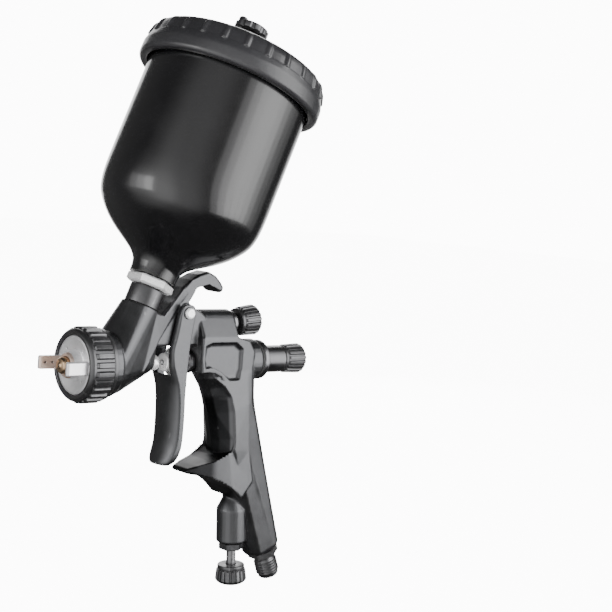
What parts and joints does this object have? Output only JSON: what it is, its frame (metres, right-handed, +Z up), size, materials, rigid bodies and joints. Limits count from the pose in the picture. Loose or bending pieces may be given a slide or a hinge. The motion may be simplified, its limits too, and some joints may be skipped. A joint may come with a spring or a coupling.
{
  "type": "hvlp spray gun",
  "caption": "Gravity-feed spray gun with a hooked body, top paint cup with screw lid, ribbed air cap ring and horns, trigger, rear knobs, and a foot regulator beside a threaded air inlet.",
  "frame": {"origin": "in the gun's middle plane, under the middle of its whole length and level with the lowest point of the hose nipple", "axes": "-X along the spray, +X rearward to the fluid knob, +Z up, -Y to the gun's left side"},
  "size_m": [0.1636, 0.101, 0.3125],
  "materials": {
    "casting": "satin black anodised",
    "cup_black": "gloss black",
    "lid_black": "satin black moulding",
    "knob_black": "satin black anodised, ribbed",
    "trigger_black": "satin black",
    "cap_silver": "brushed nickel plate",
    "bright": "polished",
    "nozzle_brass": "machined",
    "dark_steel": "dark grey",
    "stainless": "machined",
    "spring_wire": "drawn wire",
    "seal_white": "soft white seal plastic",
    "seal_black": "matte black",
    "filter": "white nylon"
  },
  "bodies": {
    "gun": {"gun_body": "casting", "fluid_nozzle": "nozzle_brass", "air_baffle": "stainless", "needle_packing": "seal_white", "packing_nut": "bright", "pivot_pin": "bright", "pivot_screw": "bright", "valve_gland": "dark_steel", "valve_spring": "spring_wire", "needle_spring": "spring_wire", "needle_housing": "dark_steel", "housing_seal": "seal_black", "fan_housing": "dark_steel", "fan_seal": "seal_black", "regulator_housing": "casting", "inlet_nipple": "dark_steel", "neck_sleeve": "knob_black", "cup_seal": "seal_white"},
    "cap_ring": {"air_cap_ring": "knob_black"},
    "cap": {"air_cap": "cap_silver", "air_cap_slip_ring": "seal_white"},
    "trigger_body": {"trigger": "trigger_black"},
    "needle": {"fluid_needle": "stainless", "needle_collar": "stainless"},
    "air_valve": {"valve_stem": "bright", "valve_plug": "stainless"},
    "fluid_stop": {"spring_stop": "stainless"},
    "fluid_control": {"fluid_screw": "stainless", "fluid_knob": "knob_black"},
    "fan_tip": {"fan_cone": "nozzle_brass"},
    "fan_control": {"fan_spindle": "stainless", "fan_knob": "knob_black"},
    "regulator_tip": {"regulator_disc": "nozzle_brass"},
    "regulator_control": {"regulator_stem": "dark_steel", "regulator_knob": "knob_black"},
    "lock_nut": {"cup_lock_nut": "bright"},
    "cup": {"paint_cup": "cup_black", "cup_strainer": "filter"},
    "gasket": {"lid_gasket": "seal_white"},
    "lid": {"cup_lid": "lid_black", "vent_plug": "knob_black"},
    "vent": {"vent_cover": "knob_black"}
  },
  "joints": [
    {"name": "trigger_pull", "type": "hinge", "parent": "gun", "child": "trigger_body", "pos_m": [-0.0073, 0, 0.15384], "axis": [0, -1, 0], "range_deg": [0, 13]},
    {"name": "valve_slide", "type": "slide", "parent": "gun", "child": "air_valve", "axis": [1, 0, 0], "range_m": [0, 0.0066], "deforming": ["valve_spring"]},
    {"name": "needle_slide", "type": "slide", "parent": "gun", "child": "needle", "axis": [1, 0, 0], "range_m": [0, 0.0061], "deforming": ["needle_spring"]},
    {"name": "cap_ring_turn", "type": "hinge", "parent": "gun", "child": "cap_ring", "pos_m": [-0.0623, 0, 0.12674], "axis": [-1, 0, 0], "continuous": true},
    {"name": "air_cap_turn", "type": "hinge", "parent": "gun", "child": "cap", "pos_m": [-0.0688, 0, 0.12674], "axis": [-1, 0, 0], "range_deg": [-90, 90]},
    {"name": "fluid_stop_slide", "type": "slide", "parent": "gun", "child": "fluid_stop", "axis": [1, 0, 0], "range_m": [0, 0.004]},
    {"name": "fluid_knob_turn", "type": "hinge", "parent": "fluid_stop", "child": "fluid_control", "pos_m": [0.0742, 0, 0.12674], "axis": [1, 0, 0], "range_deg": [0, 1440]},
    {"name": "fan_tip_slide", "type": "slide", "parent": "gun", "child": "fan_tip", "axis": [0.9954, 0, 0.0958], "range_m": [0, 0.003]},
    {"name": "fan_knob_turn", "type": "hinge", "parent": "fan_tip", "child": "fan_control", "pos_m": [0.03945, 0, 0.14849], "axis": [0.9954, 0, 0.0958], "range_deg": [0, 1080]},
    {"name": "regulator_tip_slide", "type": "slide", "parent": "gun", "child": "regulator_tip", "axis": [0.0698, 0, -0.9976], "range_m": [0, 0.004]},
    {"name": "regulator_knob_turn", "type": "hinge", "parent": "regulator_tip", "child": "regulator_control", "pos_m": [0.04276, 0, 0.00649], "axis": [0.0698, 0, -0.9976], "range_deg": [0, 1440]},
    {"name": "lock_nut_turn", "type": "hinge", "parent": "gun", "child": "lock_nut", "pos_m": [-0.02594, 0, 0.16847], "axis": [0.3746, 0, 0.9272], "continuous": true},
    {"name": "cup_turn", "type": "hinge", "parent": "gun", "child": "cup", "pos_m": [-0.02032, 0, 0.18237], "axis": [0.3746, 0, 0.9272], "continuous": true},
    {"name": "lid_lift", "type": "slide", "parent": "cup", "child": "gasket", "axis": [0.3746, 0, 0.9272], "range_m": [0, 0.05]},
    {"name": "lid_turn", "type": "hinge", "parent": "gasket", "child": "lid", "pos_m": [0.01995, 0, 0.28205], "axis": [0.3746, 0, 0.9272], "continuous": true},
    {"name": "vent_swing", "type": "hinge", "parent": "lid", "child": "vent", "pos_m": [0.02763, 0, 0.30105], "axis": [0.3746, 0, 0.9272], "range_deg": [-180, 180]}
  ],
  "couplings": [
    {"joint": "valve_slide", "follows": "trigger_pull", "m_per_rad": 0.029},
    {"joint": "needle_slide", "follows": "trigger_pull", "m_per_rad": 0.026444},
    {"joint": "fluid_stop_slide", "follows": "fluid_knob_turn", "m_per_rad": 0.00015915},
    {"joint": "fan_tip_slide", "follows": "fan_knob_turn", "m_per_rad": 0.00015915},
    {"joint": "regulator_tip_slide", "follows": "regulator_knob_turn", "m_per_rad": 0.00015915}
  ]
}
